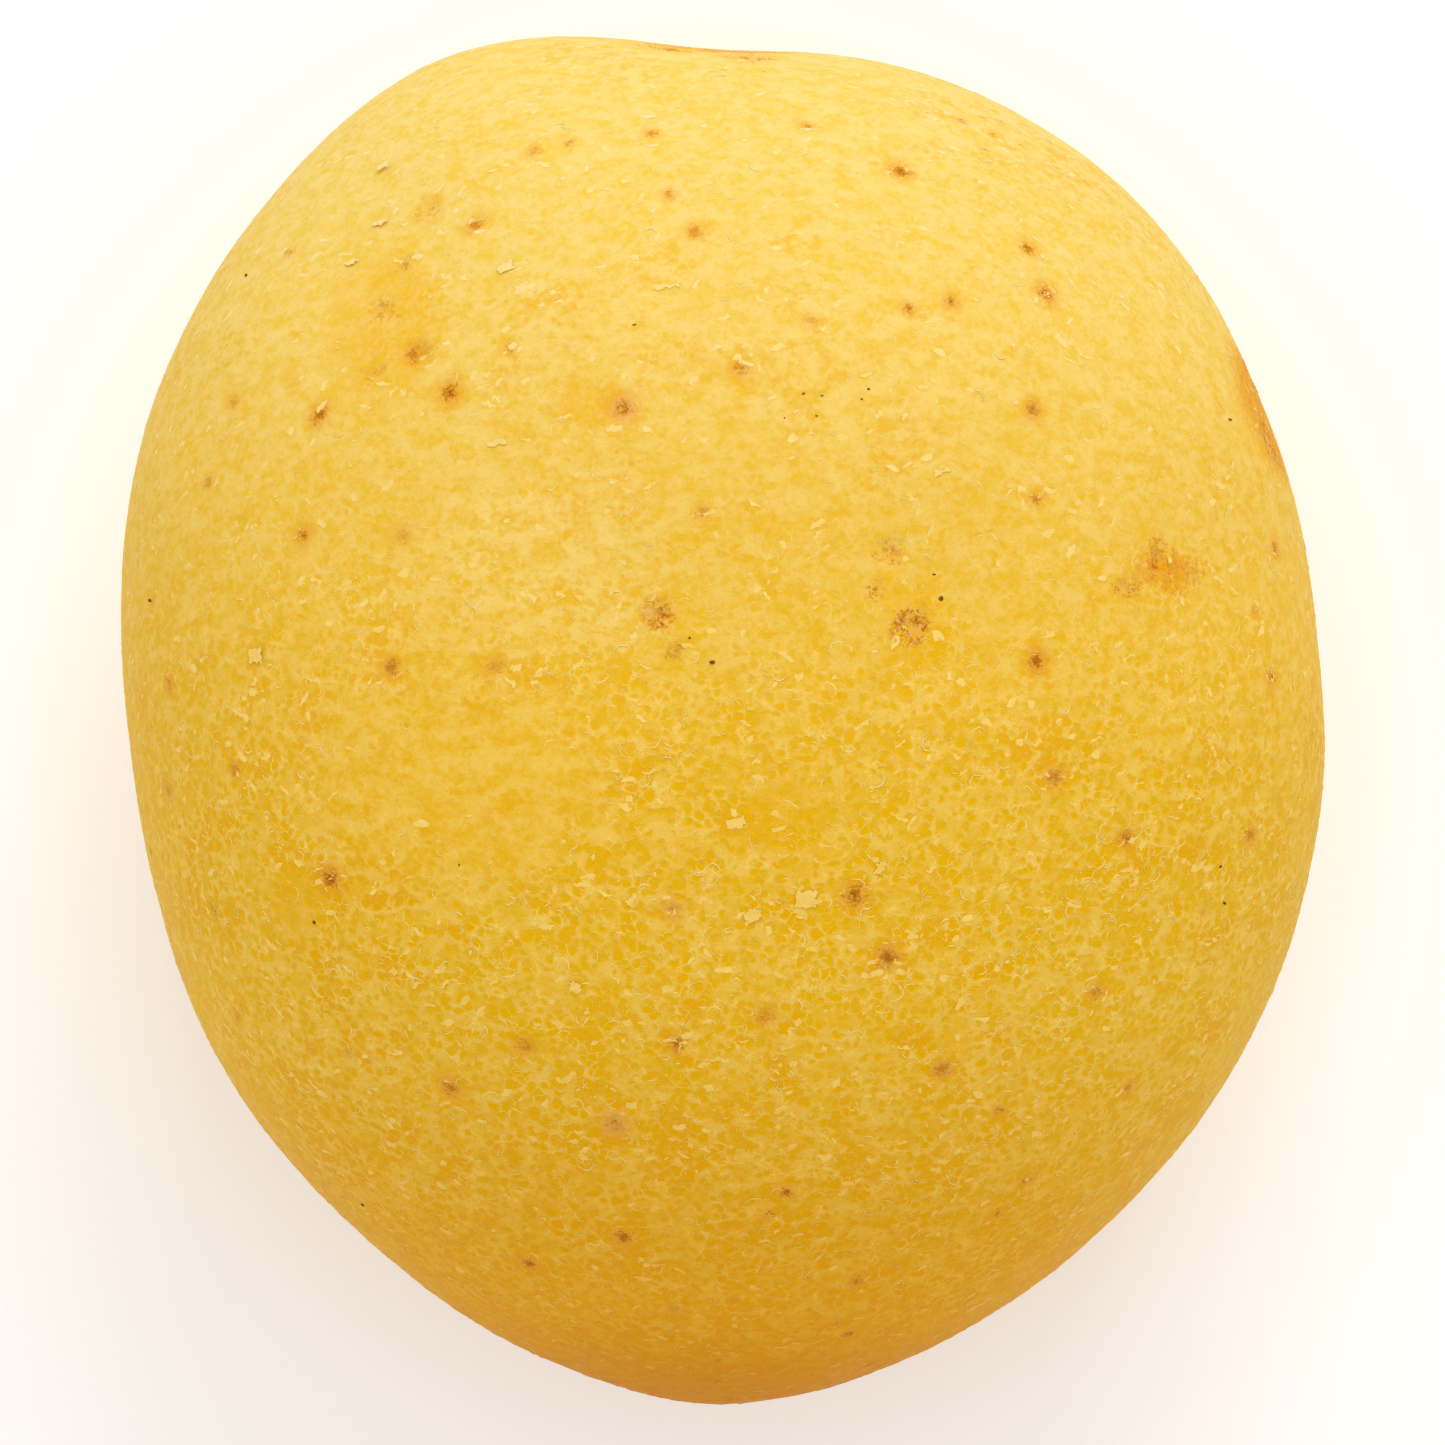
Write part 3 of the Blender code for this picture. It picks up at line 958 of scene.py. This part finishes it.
def makeCrumbs():
    graph = GeometryGraph("crumbTree", crumbSizes)
    poreDistance, poreLook = nearestSeed(graph, "Pores", graph.place())
    eyeDistance, eyeLook = nearestSeed(graph, "Eyes", graph.place())
    poreRadius, poreStrength = graph.parts(poreLook)[:2]
    eyeRadius, eyeStrength = graph.parts(eyeLook)[:2]
    nearPore = graph.step(poreDistance / (poreRadius * millimetre), 1.25, 0.2) * poreStrength
    patchy = graph.noise(graph.place(), graph.given("Eye patches per metre"), 1.0)
    patchy = graph.step(patchy, 0.48, 0.62)
    nearEye = graph.step(eyeDistance / (eyeRadius * millimetre), 1.2, 0.3) * eyeStrength * patchy
    depth = graph.math("MAXIMUM", nearPore, nearEye)
    points, turned = spread(graph, depth)
    ball = {"Radius": graph.given("Crumb radius"), "Subdivisions": 1}
    ball = graph.add("GeometryNodeMeshIcoSphere", {}, ball)
    copies = {"Instance": ball, "Rotation": leaned(graph, turned, seed=24)}
    copies["Scale"] = randomScale(graph, seed=29)
    crumbs = warped(graph, placed(graph, points, points.other("Normal"), copies))
    keep = {"Geometry": crumbs, "Name": "corkDepth", "Value": depth}
    graph.finish(graph.add("GeometryNodeStoreNamedAttribute", {"data_type": "FLOAT"}, keep))
    return graph.grow("cork_crumbs")


soilLook = {
    "dark": (0.10, 0.035, 0.005, 1),
    "light": (0.32, 0.13, 0.015, 1),
    "toneScale": 5.0,  # noise cells in a millimetre
    "shine": 0.05,
}


def makeSoilMaterial():
    material, graph, shader = newMaterial("driedSoil")
    tone = graph.noise(millimetrePlace(graph), soilLook["toneScale"], 2.0)
    colour = graph.mixColour(tone, soilLook["dark"], soilLook["light"])
    graph.join(colour, shader.inputs["Base Color"])
    graph.join(0.7 + 0.2 * tone, shader.inputs["Roughness"])
    shader.inputs["Specular IOR Level"].default_value = soilLook["shine"]
    return material


speckSizes = {
    "Specks": speckObject,
    "Smallest": (0.6, 0.5, 0.3),
    "Largest": (1.5, 1.0, 0.6),
    "Warp": 0.00010,
    "Warps per metre": 4000.0,
    "Rise": 1.0,
    "Material": makeSoilMaterial(),
}


def makeSpecks():
    graph = GeometryGraph("speckTree", speckSizes)
    ball = {"Radius": millimetre, "Subdivisions": 1}
    ball = graph.add("GeometryNodeMeshIcoSphere", {}, ball)
    points = graph.add("GeometryNodeMeshToPoints", {}, {"Mesh": graph.shapeOf("Specks")})
    radius = graph.parts(graph.kept("look"))[0]
    size = graph.scaled(randomScale(graph, seed=39), radius)
    specks = placed(graph, points, (0, 0, 1), {"Instance": ball, "Scale": size})
    graph.finish(warped(graph, specks))
    return graph.grow("soil_specks")


for piece in (makeCurls(), makeFlakes(), makeCrumbs(), makeSpecks()):
    settle(piece)


# Floor, light and camera

studio = {
    "floor": (0.98, 0.98, 0.975, 1),
    "floorGlow": 0.10,
    "floorRoughness": 0.9,
    "floorSize": 3.0,
    "surroundings": 0.74,  # strength of the light from all round
    # Lamps: power in watts, width and place.
    "lamps": {
        "key": (1.05, 0.30, (0.08, 0.47, 0.37)),
        "overhead": (1.0, 0.60, (0.0, 0.0, 0.90)),
    },
}


def makeFloor():
    bpy.ops.mesh.primitive_plane_add(size=studio["floorSize"])
    floor = bpy.context.object
    floor.name = "studio_floor"
    material, _, shader = newMaterial("paleFloor")
    shader.inputs["Base Color"].default_value = studio["floor"]
    shader.inputs["Roughness"].default_value = studio["floorRoughness"]
    shader.inputs["Emission Color"].default_value = studio["floor"]
    shader.inputs["Emission Strength"].default_value = studio["floorGlow"]
    floor.data.materials.append(material)


def makeLight():
    world = bpy.data.worlds.new("softRoom")
    world.use_nodes = True
    graph = Graph(world.node_tree)
    background = world.node_tree.nodes["Background"]
    seen = graph.add("ShaderNodeLightPath", {}, {}, "Is Camera Ray")
    strength = graph.mixValue(seen, studio["surroundings"], 1.0)
    graph.join(strength, background.inputs["Strength"])
    background.inputs["Color"].default_value = (1, 1, 1, 1)
    bpy.context.scene.world = world
    for name, (power, width, place) in studio["lamps"].items():
        light = bpy.data.lights.new(name, "AREA")
        light.energy = power
        light.size = width
        lamp = bpy.data.objects.new(name, light)
        lamp.location = place
        lamp.rotation_euler = (middle - Vector(place)).to_track_quat("-Z", "Y").to_euler()
        bpy.context.scene.collection.objects.link(lamp)


def makeCamera():
    data = bpy.data.cameras.new("camera")
    data.lens = viewer["lensMm"]
    data.sensor_width = viewer["sensorMm"]
    camera = bpy.data.objects.new("camera", data)
    camera.location = viewPoint
    bpy.context.scene.collection.objects.link(camera)
    bpy.context.scene.camera = camera


makeFloor()
makeLight()
makeCamera()
bpy.context.scene.view_settings.view_transform = "Standard"
for helper in (poreObject, eyeObject, speckObject, flapObject):
    bpy.data.objects.remove(helper)
print("stage: floor, light and camera")
